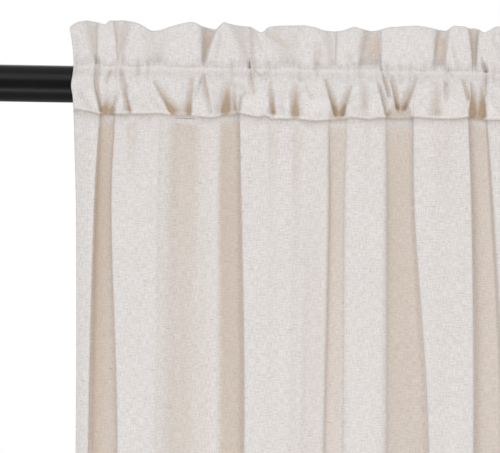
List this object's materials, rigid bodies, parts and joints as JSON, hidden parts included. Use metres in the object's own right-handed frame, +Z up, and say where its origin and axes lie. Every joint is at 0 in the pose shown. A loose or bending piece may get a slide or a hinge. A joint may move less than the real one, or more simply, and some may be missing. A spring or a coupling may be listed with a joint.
{
  "type": "cafe curtain on a curtain rod",
  "caption": "Rod-pocket cafe curtain panel with a ruffled heading, gathered into uneven vertical folds on a plain round rod.",
  "frame": {"origin": "centre of the rod's left end face, seen from the front", "axes": "+X along the rod to the right, -Y towards the front of the cloth, +Z up"},
  "size_m": [0.615, 0.0323, 0.6108],
  "materials": {
    "cloth": "semi-sheer off-white and oatmeal plain weave with fine darker slubs",
    "rod_paint": "satin black paint"
  },
  "bodies": {
    "root": {"panel": "cloth", "rod": "rod_paint"}
  },
  "joints": []
}
